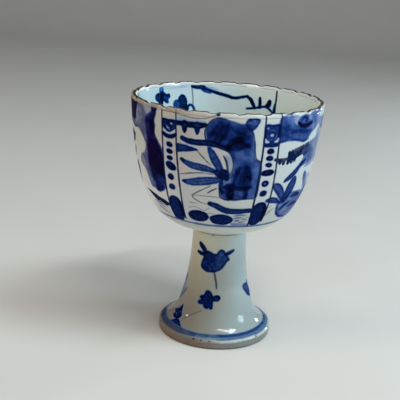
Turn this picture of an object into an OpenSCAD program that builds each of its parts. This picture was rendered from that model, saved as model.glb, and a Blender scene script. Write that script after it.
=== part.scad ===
// Porcelain stem cup: a deep round bowl luted with slip to a hollow, flared stem.
// Millimetres, +Z up, origin at the centre of the ring that the foot rests on.
// Clay, slip, glaze and rim dressing are separate closed solids that meet face to face.

/* [Bowl] */
// Outer diameter of the bowl at the lip, over the glaze
rim_d = 77.4; // [70:0.2:86]
// Height of the bowl, from the luted joint to the crest of the lip
bowl_h = 55.5; // [48:0.5:62]
// Thickness of the clay wall at the lip
wall_t = 1.5; // [1.2:0.1:2.4]
// Thickness of the clay where the bowl sits on the stem
floor_t = 4; // [3:0.1:5.5]
// Rise of the underside where it leaves the stem, in degrees
under_slope = 32; // [20:1:40]
// Reach of that slope before the belly turns up
under_reach = 10.4; // [6:0.2:14]
// Outward lean of the wall at the lip, in degrees
wall_lean = 3.3; // [0:0.1:6]
// Reach of the level floor inside before it turns up
floor_reach = 20; // [14:0.5:23]

/* [Rim] */
// Number of shallow lobes around the lip
lobes = 24; // [12:1:26]
// Depth of the dip between two lobes
dip = 0.6; // [0.2:0.05:0.9]
// Radius of the curve of a dip
dip_r = 4; // [2.5:0.1:4.2]
// Height of the brown dressing, down from the crest of the lip on both sides
band_h = 1.9; // [1.6:0.1:3.5]

/* [Stem] */
// Height of the clay stem, from its resting ring to the joint
stem_h = 44.2; // [36:0.2:52]
// Outer diameter of the stem at the joint, over the glaze
neck_d = 22.6; // [19:0.2:27]
// Outer diameter of the stem at the ankle, where the flare starts
ankle_d = 31; // [28:0.2:35]
// Height of the ankle
ankle_h = 12.6; // [10:0.2:17]
// Outward lean of the stem at the ankle, in degrees
ankle_lean = 17; // [10:1:24]
// Thickness of the clay wall of the stem
stem_wall = 3; // [2.2:0.1:4]

/* [Foot] */
// Outer diameter of the foot
foot_d = 47.6; // [42:0.2:54]
// Height of the bare upright edge of the foot
foot_edge_h = 3.9; // [3.4:0.1:5]
// Fall of the flare where it meets that edge, in degrees
flare_fall = 22; // [12:1:32]
// Rounding of the edge, above and below
edge_r = 0.6; // [0.3:0.05:0.9]
// Width of the ring that the foot rests on
ring_w = 4.4; // [3.4:0.1:6]

/* [Coats] */
// Thickness of the fired glaze and of the rim dressing
glaze_t = 0.35; // [0.2:0.05:0.5]
// Thickness of the slip in the joint
slip_t = 0.8; // [0.4:0.1:1.5]
// Width of the slip that squeezed out into the hollow stem
slip_squeeze = 0.9; // [0.5:0.1:1.5]

/* [Hidden] */
$fn = 180;

porcelain = "#ece6d8";
clear_glaze = "#dfe6e6";
iron_brown = "#6b4a30";
slip_white = "#d8d2c2";

joint_z = stem_h + slip_t;
cup_h = joint_z + bowl_h;
neck_r = neck_d / 2;
foot_r = foot_d / 2;
lip_t = wall_t + 2 * glaze_t;      // lip with both coats on it
hollow_r = neck_r - glaze_t - stem_wall;

// Straight steps that stand in for each curve of a section
bowl_steps = 40;
band_steps = 2;
shaft_steps = 18;
flare_steps = 14;
arc_steps = 6;

// A point of a cubic curve, and the unit vector along it
function curve_at(c, u) =
    pow(1 - u, 3) * c[0] + 3 * pow(1 - u, 2) * u * c[1]
    + 3 * (1 - u) * u * u * c[2] + pow(u, 3) * c[3];
function curve_along(c, u) =
    let (v = pow(1 - u, 2) * (c[1] - c[0]) + 2 * (1 - u) * u * (c[2] - c[1]) + u * u * (c[3] - c[2]))
    v / norm(v);

// A point at a depth under the curve, on its left-hand side as the curve runs
function under(c, u, depth) =
    let (t = curve_along(c, u)) curve_at(c, u) + depth * [-t[1], t[0]];
function arc(centre, r, from, to) =
    [for (i = [0:arc_steps]) let (a = from + (to - from) * i / arc_steps)
        centre + r * [cos(a), sin(a)]];
function backwards(p) = [for (i = [len(p) - 1:-1:0]) p[i]];

// Outer curve of the bowl, in [radius, height], from the joint up to the lip
lip_centre = [rim_d / 2 - lip_t / 2, cup_h - lip_t / 2];
lip_out = [cos(wall_lean), -sin(wall_lean)];
lip_start = lip_centre + lip_out * lip_t / 2;
seat = [neck_r, joint_z];

// The belly turns about the point where the line of the wall comes down to a level
function belly(lip, level) = [lip[0] - (lip[1] - level) * tan(wall_lean), level];
under_end = seat + under_reach * [cos(under_slope), sin(under_slope)];
bowl_curve = [seat, under_end, belly(lip_start, joint_z), lip_start];

// Inner curve of the clay, from the middle of the floor up to the lip
floor_z = joint_z + floor_t;
lip_inside = lip_centre - lip_out * wall_t / 2;
inner_curve = [[0, floor_z], [floor_reach, floor_z], belly(lip_inside, floor_z), lip_inside];

// Places along a curve: the glaze runs up to the band, and the dressing from there to the lip
function u_band(c) = 1 - (band_h - lip_t / 2) / (3 * norm(c[3] - c[2]));
function u_glaze(c) = [for (i = [0:bowl_steps]) u_band(c) * i / bowl_steps];
function u_lip(c) = [for (i = [0:band_steps]) u_band(c) + (1 - u_band(c)) * i / band_steps];
function face(c, us, depth) = [for (u = us) under(c, u, depth)];
function crest(inset) = arc(lip_centre, lip_t / 2 - inset, -wall_lean, 180 - wall_lean);

// Stem curves, from the joint down to the edge of the foot
ankle = [ankle_d / 2, ankle_h];
ankle_along = [sin(ankle_lean), -cos(ankle_lean)];
edge_centre = [foot_r - edge_r, foot_edge_h - edge_r];
flare_end = edge_centre + edge_r * [sin(flare_fall), cos(flare_fall)];
flare_along = [cos(flare_fall), -sin(flare_fall)];
stem_top = [neck_r, stem_h];
shaft_third = norm(ankle - stem_top) / 3;
flare_third = norm(flare_end - ankle) / 3;
shaft_curve = [stem_top, stem_top - [0, shaft_third], ankle - shaft_third * ankle_along, ankle];
flare_curve = [ankle, ankle + flare_third * ankle_along, flare_end - flare_third * flare_along, flare_end];

// The stem's curves run downwards, so the clay is on their right-hand side
function stem_line(depth) = concat(
    [for (i = [0:shaft_steps - 1]) under(shaft_curve, i / shaft_steps, -depth)],
    [for (i = [0:flare_steps]) under(flare_curve, i / flare_steps, -depth)]);

// The hollow follows the outside of the stem, and stops at the resting ring
ring_in = foot_r - ring_w;
hollow_line = [for (p = stem_line(glaze_t + stem_wall)) if (p[0] < ring_in - edge_r) p];
hollow_end = hollow_line[len(hollow_line) - 1];
toe = concat(
    arc(edge_centre, edge_r, 90 - flare_fall, 0),
    arc([foot_r - edge_r, edge_r], edge_r, 0, -90),
    arc([ring_in + edge_r, edge_r], edge_r, -90, -180));

// Cylinders that cut the dips between the lobes, grown by a coat for the clay under it
module rim_dips(grow) {
    for (i = [0:lobes - 1])
        rotate([0, 0, (i + 0.5) * 360 / lobes])
            translate([rim_d / 2 - 2 * lip_t, 0, cup_h - dip + dip_r])
                rotate([0, 90, 0])
                    cylinder(r = dip_r + grow, h = 3 * lip_t);
}

module bowl_body() {
    outside = face(bowl_curve, concat(u_glaze(bowl_curve), u_lip(bowl_curve)), glaze_t);
    inside = face(inner_curve, concat(u_glaze(inner_curve), u_lip(inner_curve)), 0);
    color(porcelain)
        difference() {
            rotate_extrude()
                polygon(concat([[0, joint_z], [neck_r - glaze_t, joint_z]],
                    outside, crest(glaze_t), backwards(inside)));
            rim_dips(glaze_t);
        }
}

module bowl_outer_glaze() {
    us = u_glaze(bowl_curve);
    color(clear_glaze)
        rotate_extrude()
            polygon(concat(face(bowl_curve, us, 0),
                backwards(face(bowl_curve, us, glaze_t)), [[neck_r - glaze_t, joint_z]]));
}

module bowl_inner_glaze() {
    us = u_glaze(inner_curve);
    color(clear_glaze)
        rotate_extrude()
            polygon(concat(face(inner_curve, us, 0), backwards(face(inner_curve, us, glaze_t))));
}

// A cap over the lip that follows the lobes, between the ends of the two glazes
module rim_dressing() {
    lip_us = u_lip(bowl_curve);
    lip_in_us = u_lip(inner_curve);
    bite = wall_t / 4;             // the cap's section runs on into the clay, which is then cut away
    into_clay = [under(inner_curve, lip_in_us[0], -bite), under(bowl_curve, lip_us[0], glaze_t + bite)];
    clay_us = concat([u_glaze(bowl_curve)[bowl_steps - 1]], lip_us);
    clay_in_us = concat([u_glaze(inner_curve)[bowl_steps - 1]], lip_in_us);
    color(iron_brown)
        difference() {
            rotate_extrude()
                polygon(concat(face(bowl_curve, lip_us, 0), crest(0),
                    backwards(face(inner_curve, lip_in_us, glaze_t)), into_clay));
            rim_dips(0);
            difference() {
                rotate_extrude()
                    polygon(concat(face(bowl_curve, clay_us, glaze_t), crest(glaze_t),
                        backwards(face(inner_curve, clay_in_us, 0))));
                rim_dips(glaze_t);
            }
        }
}

// The slip between the two seats, with the bead that squeezed into the hollow
module luting_slip() {
    slip_r = neck_r - glaze_t;
    bead_in = hollow_r - slip_squeeze;
    color(slip_white)
        rotate_extrude()
            polygon([[bead_in, stem_h], [slip_r, stem_h], [slip_r, joint_z], [bead_in, joint_z]]);
}

module stem_body() {
    color(porcelain)
        rotate_extrude()
            polygon(concat(stem_line(glaze_t), toe, [[ring_in, hollow_end[1]]], backwards(hollow_line)));
}

module stem_glaze() {
    color(clear_glaze)
        rotate_extrude()
            polygon(concat([[neck_r - glaze_t, joint_z], [neck_r, joint_z]],
                stem_line(0), backwards(stem_line(glaze_t))));
}

bowl_body();
bowl_outer_glaze();
bowl_inner_glaze();
rim_dressing();
luting_slip();
stem_body();
stem_glaze();
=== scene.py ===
import math

import bpy
import numpy as np
from mathutils import Matrix, Vector
from mathutils.bvhtree import BVHTree


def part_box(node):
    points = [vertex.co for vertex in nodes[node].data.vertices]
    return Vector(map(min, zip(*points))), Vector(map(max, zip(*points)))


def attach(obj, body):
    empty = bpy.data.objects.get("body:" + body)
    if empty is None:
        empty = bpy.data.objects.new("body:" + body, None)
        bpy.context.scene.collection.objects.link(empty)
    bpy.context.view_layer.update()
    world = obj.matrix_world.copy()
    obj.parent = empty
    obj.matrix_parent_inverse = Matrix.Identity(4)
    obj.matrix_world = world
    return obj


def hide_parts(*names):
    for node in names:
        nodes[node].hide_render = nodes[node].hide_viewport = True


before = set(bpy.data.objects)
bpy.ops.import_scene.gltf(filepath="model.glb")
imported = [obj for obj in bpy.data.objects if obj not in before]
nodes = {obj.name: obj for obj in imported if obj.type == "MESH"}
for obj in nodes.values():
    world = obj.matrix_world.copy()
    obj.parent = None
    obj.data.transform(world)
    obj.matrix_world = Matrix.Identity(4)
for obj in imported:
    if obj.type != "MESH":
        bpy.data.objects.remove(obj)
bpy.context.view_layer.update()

mm = 0.001
print("frame loaded:", ", ".join(sorted(nodes)))


# Node trees from expressions, for materials and for geometry
class Wire:
    def __init__(self, board, socket):
        self.board = board
        self.socket = socket

    def also(self, name):  # another output of the same node
        return Wire(self.board, self.socket.node.outputs[name])

    def maths(self, operation, *values):
        return self.board.add("ShaderNodeMath", {"operation": operation}, dict(enumerate(values)))

    def __add__(self, other):
        return self.maths("ADD", self, other)

    def __radd__(self, other):
        return self.maths("ADD", other, self)

    def __sub__(self, other):
        return self.maths("SUBTRACT", self, other)

    def __rsub__(self, other):
        return self.maths("SUBTRACT", other, self)

    def __mul__(self, other):
        return self.maths("MULTIPLY", self, other)

    def __rmul__(self, other):
        return self.maths("MULTIPLY", other, self)

    def __truediv__(self, other):
        return self.maths("DIVIDE", self, other)

    def call(self, operation, other=0.0):
        return self.maths(operation, self, other)

    def ease(self, start, end):  # 0 at start, 1 at end, smooth between them
        return self.board.add("ShaderNodeMapRange", {"interpolation_type": "SMOOTHSTEP"},
                              {"Value": self, "From Min": start, "From Max": end})


class Board:
    def __init__(self, tree):
        self.tree = tree
        self.place = None
        tree.nodes.clear()

    def add(self, kind, settings=None, inputs=None, out=0):
        node = self.tree.nodes.new(kind)
        for key, value in (settings or {}).items():
            if key == "stops":
                self.fillRamp(node.color_ramp, value)
            else:
                setattr(node, key, value)
        for key, value in (inputs or {}).items():
            if isinstance(value, Wire):
                self.tree.links.new(value.socket, node.inputs[key])
            else:
                node.inputs[key].default_value = value
        return Wire(self, node.outputs[out]) if len(node.outputs) else node

    def fillRamp(self, ramp, stops):  # stops are places from 0 to 1, each with its screen colour
        while len(ramp.elements) < len(stops):
            ramp.elements.new(0.5)
        for element, (place, tint) in zip(ramp.elements, stops.items()):
            element.position = place
            element.color = colour(*tint)

    def ramp(self, stops, share):
        return self.add("ShaderNodeValToRGB", {"stops": stops}, {"Fac": share})

    def coords(self):  # one node for the whole tree
        if self.place is None:
            self.place = self.add("ShaderNodeTexCoord", out="Object")
        return self.place

    def axis(self, name):  # where a point lies along X, Y or Z, in mm
        return self.add("ShaderNodeSeparateXYZ", {}, {0: self.coords()}, out=name) / mm

    def noise(self, perMetre, detail=3.0, rough=0.5):
        return self.add("ShaderNodeTexNoise", {}, {"Vector": self.coords(), "Scale": perMetre,
                        "Detail": detail, "Roughness": rough}, out="Fac")

    def bump(self, height, strength, deep):  # deep is in mm
        return self.add("ShaderNodeBump", {}, {"Strength": strength, "Distance": deep * mm, "Height": height},
                        out="Normal")

    def stored(self, name):
        return self.add("ShaderNodeAttribute", {"attribute_name": name}, out="Fac")

    def blendColour(self, share, first, second):
        return self.add("ShaderNodeMix", {"data_type": "RGBA"}, {0: share, 6: first, 7: second}, out=2)


def colour(red, green, blue):  # a screen colour, 0 to 255, as the shader wants it
    def linear(level):
        level /= 255
        return level / 12.92 if level <= 0.04045 else ((level + 0.055) / 1.055) ** 2.4
    return (linear(red), linear(green), linear(blue), 1.0)


def newMaterial(name):
    material = bpy.data.materials.new(name)
    material.use_nodes = True
    return material, Board(material.node_tree)


def closeMaterial(board, surface):
    board.add("ShaderNodeOutputMaterial", {}, {"Surface": surface})


def newObject(name, data):
    made = bpy.data.objects.new(name, data)
    bpy.context.scene.collection.objects.link(made)
    return made


# Camera where the photograph was taken from
photoCamera = {
    "distance": 334.5 * mm,  # from the cup's axis
    "height": 155.3 * mm,
    "down": 16.51,           # degrees
    "aside": -1.54,
    "tilt": 3.05,
    "lens": 75.57,
    "sensor": 36,
    "nearest": 10 * mm,
}


def makeCamera(want):
    down, aside, tilt = (math.radians(want[key]) for key in ("down", "aside", "tilt"))
    forward = Vector((math.sin(aside) * math.cos(down), math.cos(aside) * math.cos(down), -math.sin(down)))
    level = Vector((math.cos(aside), -math.sin(aside), 0))
    above = level.cross(forward)
    right = math.cos(tilt) * level + math.sin(tilt) * above
    up = math.cos(tilt) * above - math.sin(tilt) * level
    place = Matrix((right, up, -forward)).transposed().to_4x4()
    place.translation = (0, -want["distance"], want["height"])
    lens = bpy.data.cameras.new("photoCamera")
    lens.lens = want["lens"]
    lens.sensor_width = want["sensor"]
    lens.clip_start = want["nearest"]
    camera = newObject("photoCamera", lens)
    camera.matrix_world = place
    bpy.context.scene.camera = camera


makeCamera(photoCamera)

studio = {
    # azimuth and height in degrees, distance, width and length in metres, power in watts, tint,
    # and whether the glaze mirrors it
    "lamps": {
        "window": (67, 60, 0.8, 0.16, 0.16, 2.8, (0.80, 0.93, 1.0), True),
        "side": (82, 24, 0.9, 0.25, 0.25, 3.2, (0.68, 0.88, 1.0), True),
        "rear": (132, 16, 0.8, 0.07, 0.07, 1.1, (0.72, 0.89, 1.0), True),
        "spot": (32, 64, 0.8, 0.26, 0.03, 1.7, (1.0, 0.98, 0.94), True),
        "candle": (-87, 23, 0.8, 0.03, 0.03, 0.2, (1.0, 0.88, 0.70), True),
        "fill": (-80, 16, 0.9, 0.4, 0.4, 3.5, (1.0, 0.86, 0.66), False),
        "front": (5, 12, 1.1, 0.7, 0.7, 3.4, (0.98, 0.97, 0.95), False),
        "above": (10, 74, 1.1, 0.7, 0.7, 1.8, (1.0, 0.99, 0.96), False),
    },
    "aim": Vector((0, 0, 0.01)),  # the point that they all face
    "sky": (0.90, 0.94, 0.98),
    "skyStrength": 0.26,
}


def makeLamp(name, aim, azimuth, height, distance, wide, long, power, tint, mirrored):
    turn, rise = math.radians(azimuth), math.radians(height)
    place = distance * Vector((math.sin(turn) * math.cos(rise), -math.cos(turn) * math.cos(rise), math.sin(rise)))
    lamp = bpy.data.lights.new(name, "AREA")
    lamp.shape = "RECTANGLE"
    lamp.size, lamp.size_y = wide, long
    lamp.energy = power
    lamp.color = tint
    holder = newObject(name, lamp)
    holder.location = place + aim
    holder.rotation_euler = (-place).to_track_quat("-Z", "Y").to_euler()
    holder.visible_glossy = mirrored


def makeStudio(want):
    for name, lamp in want["lamps"].items():
        makeLamp(name, want["aim"], *lamp)
    world = bpy.data.worlds.new("studio")
    bpy.context.scene.world = world
    world.use_nodes = True
    board = Board(world.node_tree)
    sky = board.add("ShaderNodeBackground", {}, {"Color": (*want["sky"], 1), "Strength": want["skyStrength"]})
    board.add("ShaderNodeOutputWorld", {}, {"Surface": sky})
    bpy.context.scene.view_settings.view_transform = "Standard"


makeStudio(studio)

paleFloor = {"half": 1.6, "bend": 0.5, "high": 0.9,  # metres
             "steps": 24, "clouds": (18, 2), "rough": 0.9,
             "tones": (colour(186, 184, 179), colour(193, 191, 187))}


def makeFloor(want):
    material, board = newMaterial("paleFloor")
    tone = board.blendColour(board.noise(*want["clouds"]), *want["tones"])
    closeMaterial(board, board.add("ShaderNodeBsdfPrincipled", {}, {"Base Color": tone, "Roughness": want["rough"]}))
    half, bend = want["half"], want["bend"]
    side = [(-half, 0.0)]
    side += [(half - bend + bend * math.sin(t), bend - bend * math.cos(t))
             for t in np.linspace(0, math.pi / 2, want["steps"])]
    side += [(half, want["high"])]
    points = [(x, y, z) for x in (-half, half) for y, z in side]
    count = len(side)
    faces = [(i, count + i, count + i + 1, i + 1) for i in range(count - 1)]
    mesh = bpy.data.meshes.new("floor")
    mesh.from_pydata(points, [], faces)
    mesh.polygons.foreach_set("use_smooth", [True] * len(faces))
    mesh.materials.append(material)
    floor = newObject("floor", mesh)


makeFloor(paleFloor)
print("camera, lamps and floor made")

seamGap = mm / 1000  # points this near each other become one


# A section of the cup turned about its axis, as a Geometry Nodes tree
def makeTurnTree():
    tree = bpy.data.node_groups.new("turnProfile", "GeometryNodeTree")
    for name, kind in (("Profile", "Geometry"), ("Around", "Int"), ("Finish", "Material")):
        tree.interface.new_socket(name, in_out="INPUT", socket_type="NodeSocket" + kind)
    tree.interface.new_socket("Turned", in_out="OUTPUT", socket_type="NodeSocketGeometry")
    board = Board(tree)
    profile = board.add("NodeGroupInput")
    rows = board.add("GeometryNodeAttributeDomainSize", {"component": "MESH"}, {0: profile})
    sheet = board.add("GeometryNodeMeshGrid", {}, {"Size X": 1.0, "Size Y": 1.0, "Vertices Y": rows,
                      "Vertices X": profile.also("Around") + 1})
    spot = board.add("GeometryNodeInputPosition")
    across = board.add("ShaderNodeSeparateXYZ", {}, {0: spot})
    turn = (across + 0.5) * math.tau
    row = ((across.also("Y") + 0.5) * (rows - 1)).call("ROUND")
    sampled = board.add("GeometryNodeSampleIndex", {"data_type": "FLOAT_VECTOR"},
                        {"Geometry": profile, "Value": spot, "Index": row})
    radius = board.add("ShaderNodeSeparateXYZ", {}, {0: sampled})
    place = board.add("ShaderNodeCombineXYZ", {}, {"X": radius * turn.call("SINE"),
                      "Y": 0 - radius * turn.call("COSINE"), "Z": radius.also("Z")})
    turned = board.add("GeometryNodeSetPosition", {}, {"Geometry": sheet, "Position": place})
    closed = board.add("GeometryNodeMergeByDistance", {}, {"Geometry": turned, "Distance": seamGap})
    smooth = board.add("GeometryNodeSetShadeSmooth", {}, {0: closed})
    real = board.add("GeometryNodeRealizeInstances", {}, {0: smooth})
    finished = board.add("GeometryNodeSetMaterial", {}, {"Geometry": real, "Material": profile.also("Finish")})
    board.add("NodeGroupOutput", {}, {0: finished})
    return tree


def socketKey(tree, name):
    return next(item.identifier for item in tree.interface.items_tree if item.name == name)


def settleMesh(piece):  # the modifiers' result as a plain mesh
    bpy.context.view_layer.update()
    ready = piece.evaluated_get(bpy.context.evaluated_depsgraph_get())
    mesh = bpy.data.meshes.new_from_object(ready)
    piece.modifiers.clear()
    piece.data = mesh
    mesh.name = piece.name


turnTree = makeTurnTree()


def turnPiece(name, profile, around, material):  # profile is (radius, height) pairs in mm
    mesh = bpy.data.meshes.new(name)
    points = [(r * mm, 0, z * mm) for r, z in profile]
    mesh.from_pydata(points, [(i, i + 1) for i in range(len(points) - 1)], [])
    piece = newObject(name, mesh)
    modifier = piece.modifiers.new("turn", "NODES")
    modifier.node_group = turnTree
    modifier[socketKey(turnTree, "Around")] = around
    modifier[socketKey(turnTree, "Finish")] = material
    settleMesh(piece)
    if signedVolume(piece.data) < 0:
        piece.data.flip_normals()
    print(f"{name}: {len(piece.data.vertices)} points")
    return piece


def readPoints(mesh):
    flat = np.empty(len(mesh.vertices) * 3)
    mesh.vertices.foreach_get("co", flat)
    return flat.reshape(-1, 3)


def signedVolume(mesh):
    points = readPoints(mesh)
    mesh.calc_loop_triangles()
    corners = np.empty(len(mesh.loop_triangles) * 3, int)
    mesh.loop_triangles.foreach_get("vertices", corners)
    a, b, c = (points[corners[k::3]] for k in range(3))
    return float((a * np.cross(b, c)).sum() / 6)


# Sections read from the CAD solids, in mm
bowlHub = 85       # height of a point on the axis that sees the whole bowl
rayReach = 200     # from the axis to outside every piece
sectionRays = 500
hair = 1e-4        # keeps the end rays off a solid's very edge, and rows apart


def solidTree(name):
    mesh = nodes[name].data
    return BVHTree.FromPolygons([v.co for v in mesh.vertices], [p.vertices for p in mesh.polygons])


def castInPlane(tree, start, end):  # from one (radius, height) towards another, on the front half-plane
    origin = Vector((0, -start[0], start[1])) * mm
    target = Vector((0, -end[0], end[1])) * mm
    hit = tree.ray_cast(origin, (target - origin).normalized())[0]
    return None if hit is None else (-hit.y / mm, hit.z / mm)


def section(tree, rays, inside):  # the face that rays meet from their inner ends, or else from their outer ends
    found = [castInPlane(tree, *(ray if inside else ray[::-1])) for ray in rays]
    return np.array([spot for spot in found if spot])


def hubRays(name):  # from the hub of the bowl, over the whole of a solid
    points = readPoints(nodes[name].data) / mm
    angles = np.arctan2(np.hypot(points[:, 0], points[:, 1]), bowlHub - points[:, 2])
    return [((0, bowlHub), (rayReach * math.sin(angle), bowlHub - rayReach * math.cos(angle)))
            for angle in np.linspace(angles.min() + hair, angles.max() - hair, sectionRays)]


def levelRays(low, high, count=sectionRays):
    return [((0, z), (rayReach, z)) for z in np.linspace(low, high, count)]


def arcLengths(line):
    return np.concatenate([[0], np.cumsum(np.hypot(*np.diff(line, axis=0).T))])


def respace(line, places):  # points of a line at given shares of its length
    arcs = arcLengths(line)
    want = np.asarray(places) * arcs[-1]
    return np.column_stack([np.interp(want, arcs, line[:, 0]), np.interp(want, arcs, line[:, 1])])


def evenly(line, count):
    return respace(line, np.linspace(0, 1, count))


def rowsBetween(line, spans):  # spans are (start height, end height, row spacing) on a line that climbs
    arcs = arcLengths(line)
    shares = []
    for start, end, spacing in spans:
        first, last = np.interp([start, end], line[:, 1], arcs)
        count = max(2, int(round((last - first) / spacing)) + 1)
        shares.extend(np.linspace(first, last, count)[:-1] / arcs[-1])
    return respace(line, shares + [1.0])


def keepValues(mesh, name, values):  # one number for each point, for the materials to read
    mesh.attributes.new(name, "FLOAT", "POINT")
    mesh.attributes[name].data.foreach_set("value", values.astype(np.float32))


# Brushwork: distances in mm to the listed strokes, kept on the points of a piece
brush = {
    "blank": 9.0,    # distance where there is no paint near
    "reach": 2.5,    # how far past its edge a mark is measured
    "painted": 0.3,  # a point nearer than this to a mark's edge counts as painted
    "blend": 0.4,    # width of the change where one mark covers another
    "dotSides": 24,
}
tiny = 1e-9  # stands in for a length of nothing


def gapsToPath(px, py):  # from each point to each stretch of a path, and the share of the stretch where it is nearest
    dx, dy = np.diff(px, axis=1), np.diff(py, axis=1)
    square = np.maximum(dx * dx + dy * dy, tiny)
    share = np.clip(-(px[:, :-1] * dx + py[:, :-1] * dy) / square, 0, 1)
    return np.hypot(px[:, :-1] + share * dx, py[:, :-1] + share * dy), share


class Canvas:
    def __init__(self, piece, line):
        points = readPoints(piece.data) / mm
        order = np.argsort(line[:, 1])
        self.heights = line[order, 1]
        self.arcs = arcLengths(line)[order]
        self.mesh = piece.data
        self.turn = np.degrees(np.arctan2(points[:, 0], -points[:, 1]))
        self.radius = np.hypot(points[:, 0], points[:, 1])
        self.along = np.interp(points[:, 2], self.heights, self.arcs)
        self.fields = {name: [np.full(len(points), brush["blank"]), np.zeros(len(points))]
                       for name in ("wash", "ink", "bare", "line")}

    def around(self, path, reach):  # the points near a path, and the path as each of them sees it
        middle = path[:, 0].mean()
        place = np.interp(path[:, 1], self.heights, self.arcs)
        offset = (self.turn - middle + 180) % 360 - 180
        perDegree = math.radians(1) * self.radius
        spread = np.abs(path[:, 0] - middle).max()
        near = (np.abs(offset) - spread) * perDegree < reach
        near &= (self.along > place.min() - reach) & (self.along < place.max() + reach)
        near = np.nonzero(near)[0]
        px = (path[None, :, 0] - middle - offset[near, None]) * perDegree[near, None]
        py = place[None, :] - self.along[near, None]
        return near, px, py

    def put(self, layer, near, distance, depth, soft=None):  # a later mark covers the ones before it
        edge, strength = self.fields[layer]
        share = np.clip(0.5 - distance / (soft or brush["blend"]), 0, 1)
        share = share * share * (3 - 2 * share)
        if soft is None:
            share = np.where(edge[near] < brush["painted"], share, distance < edge[near])
            edge[near] = np.minimum(edge[near], distance)
        strength[near] += (depth - strength[near]) * share

    def stroke(self, layer, path, widths, depth):
        half = np.asarray(widths) / 2
        near, px, py = self.around(path, half.max() + brush["reach"])
        gap, share = gapsToPath(px, py)
        gap -= half[None, :-1] + share * np.diff(half)[None, :]
        self.put(layer, near, gap.min(axis=1), depth)

    def patch(self, layer, path, depth, soft=None):
        near, px, py = self.around(np.vstack([path, path[:1]]), brush["reach"])
        gap = gapsToPath(px, py)[0].min(axis=1)
        dx, dy = np.diff(px, axis=1), np.diff(py, axis=1)
        crosses = (py[:, :-1] > 0) != (py[:, 1:] > 0)
        where = px[:, :-1] - py[:, :-1] * dx / np.where(np.abs(dy) < tiny, tiny, dy)
        inside = (crosses & (where > 0)).sum(axis=1) % 2 == 1
        self.put(layer, near, np.where(inside, -gap, gap), depth, soft)

    def keep(self):
        for name, (edge, strength) in self.fields.items():
            keepValues(self.mesh, name + "Edge", edge)
            keepValues(self.mesh, name + "Depth", strength)


def smoothPath(points, closed=False, steps=6):  # a soft curve through given points
    p = np.array(points, float)
    if len(p) < 3:
        return np.array([p[0] + (p[1] - p[0]) * t for t in np.linspace(0, 1, 2 * steps + 1)])
    ring = np.vstack([p[-1:], p, p[:2]]) if closed else np.vstack([2 * p[0] - p[1], p, 2 * p[-1] - p[-2]])
    made = []
    for a, b, c, d in zip(ring, ring[1:], ring[2:], ring[3:]):
        for t in np.arange(steps) / steps:
            made.append(0.5 * (2 * b + (c - a) * t + (2 * a - 5 * b + 4 * c - d) * t ** 2
                               + (3 * b - a - 3 * c + d) * t ** 3))
    return np.array(made if closed else made + [p[-1]])


# The kinds of mark, each with its layer and how dark it is; points are turn in degrees from the front and height in mm
def strokeKind(taper):  # taper is the share of the width from the start of a stroke to its end
    def kind(layer, depth, width, *points):
        path = smoothPath(points)
        return {"layer": layer, "depth": depth, "path": path, "widths": width * taper(np.linspace(0, 1, len(path)))}
    return kind


stroke = strokeKind(lambda t: 0.75 + 0.25 * np.sin(np.pi * t))
leaf = strokeKind(lambda t: np.sin(np.pi * t ** 0.85) ** 0.7)
drop = strokeKind(lambda t: np.sqrt(np.clip(1 - t, 0, 1)) * 0.96 + 0.04)
tail = strokeKind(lambda t: 0.25 + 0.75 * np.clip(t * 2.2, 0, 1) * np.clip((1 - t) * 5, 0.2, 1))


def patch(layer, depth, *points):
    return {"layer": layer, "depth": depth, "path": smoothPath(points, closed=True)}


def shade(layer, depth, fade, *points):  # only changes how dark a patch is, and fades over some mm at its edge
    return {**patch(layer, depth, *points), "soft": fade}


def dot(layer, depth, size, place, slant=0.0):  # size is degrees across and mm high
    lap = np.linspace(0, math.tau, brush["dotSides"] + 1)[:-1]
    across, up = size[0] / 2 * np.cos(lap), size[1] / 2 * np.sin(lap) + slant * np.cos(lap)
    return {"layer": layer, "depth": depth, "path": np.column_stack([place[0] + across, place[1] + up])}


def paint(canvas, motif, shift=0.0, lift=0.0):
    for mark in motif:
        path = mark["path"] + np.array([shift, lift])
        if "widths" in mark:
            canvas.stroke(mark["layer"], path, mark["widths"], mark["depth"])
        else:
            canvas.patch(mark["layer"], path, mark["depth"], mark.get("soft"))


# The painted motifs
tasselStrip = [
    stroke("line", 1.0, 0.8, (-4.9, 100.6), (-4.8, 85), (-5.1, 72), (-5.2, 62), (-4.4, 54.2)),
    stroke("line", 0.95, 0.75, (4.7, 100.6), (5.0, 87), (5.6, 76), (6.1, 66), (6.0, 56)),
    patch("ink", 0.8, (-5.1, 57), (-5.3, 61), (-4, 64.2), (0, 65.5), (4.2, 64.4), (5.9, 61), (5.6, 57.5), (3, 55.1),
          (0, 54.7), (-3, 55.1)),
    stroke("ink", 0.95, 1.6, (2.6, 63.6), (4.6, 61), (4.8, 57.4)),
]
stripDots = [
    dot("ink", 0.92, (4.5, 2.0), (0.2, 86.2), -0.1),
    dot("ink", 0.95, (4.3, 1.9), (0.1, 83.5), -0.1),
    dot("ink", 0.92, (4.2, 1.7), (0.1, 80.9), -0.1),
    dot("ink", 0.9, (4.6, 2.4), (-0.2, 73.4)),
    dot("ink", 0.76, (4.8, 2.4), (-0.1, 69.3), 0.1),
]
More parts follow.
